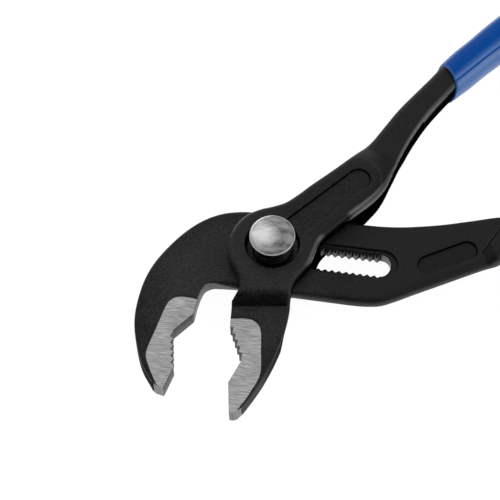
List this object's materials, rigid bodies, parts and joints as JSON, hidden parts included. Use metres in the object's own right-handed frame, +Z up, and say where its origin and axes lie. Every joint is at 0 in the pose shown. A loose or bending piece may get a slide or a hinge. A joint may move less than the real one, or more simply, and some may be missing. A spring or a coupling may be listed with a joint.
{
  "type": "water pump pliers",
  "caption": "Push-button water pump pliers: a box lever slides along a hook-jaw lever's toothed slot, locks there by a sprung pin and turns on it; toothed jaws, blue dipped grips.",
  "frame": {"origin": "centre of the part's box at the surface that it lies on", "axes": "+X along the slot, from the jaws to the handles; +Z up through the button, square to the levers"},
  "size_m": [0.2236, 0.211, 0.0194],
  "materials": {
    "black_steel": "satin black forged steel with ground jaw faces",
    "blue_vinyl": "smooth dipped vinyl",
    "bright_steel": "turned and nickelled",
    "spring_steel": "oiled spring steel"
  },
  "bodies": {
    "hook_lever": {"hook_jaw_lever": "black_steel", "hook_lever_grip": "blue_vinyl"},
    "pin_carrier": {"spring_seat": "spring_steel", "return_spring": "spring_steel"},
    "box_lever": {"box_jaw_lever": "black_steel", "box_lever_grip": "blue_vinyl"},
    "lock_pin": {"pivot_pin": "bright_steel", "push_button": "bright_steel", "retaining_ring": "spring_steel"}
  },
  "joints": [
    {"name": "jaw_adjust", "type": "slide", "parent": "hook_lever", "child": "pin_carrier", "axis": [1, 0, 0], "range_m": [-0.004, 0.02]},
    {"name": "jaw_pivot", "type": "hinge", "parent": "pin_carrier", "child": "box_lever", "pos_m": [-0.07629, -0.05411, 0.0071], "axis": [0, 0, 1], "range_deg": [-16, 15]},
    {"name": "button_press", "type": "slide", "parent": "pin_carrier", "child": "lock_pin", "axis": [0, 0, 1], "range_m": [-0.0026, 0], "stiffness_N_per_m": 1200, "springref_m": 0.003, "deforming": ["return_spring"]}
  ]
}
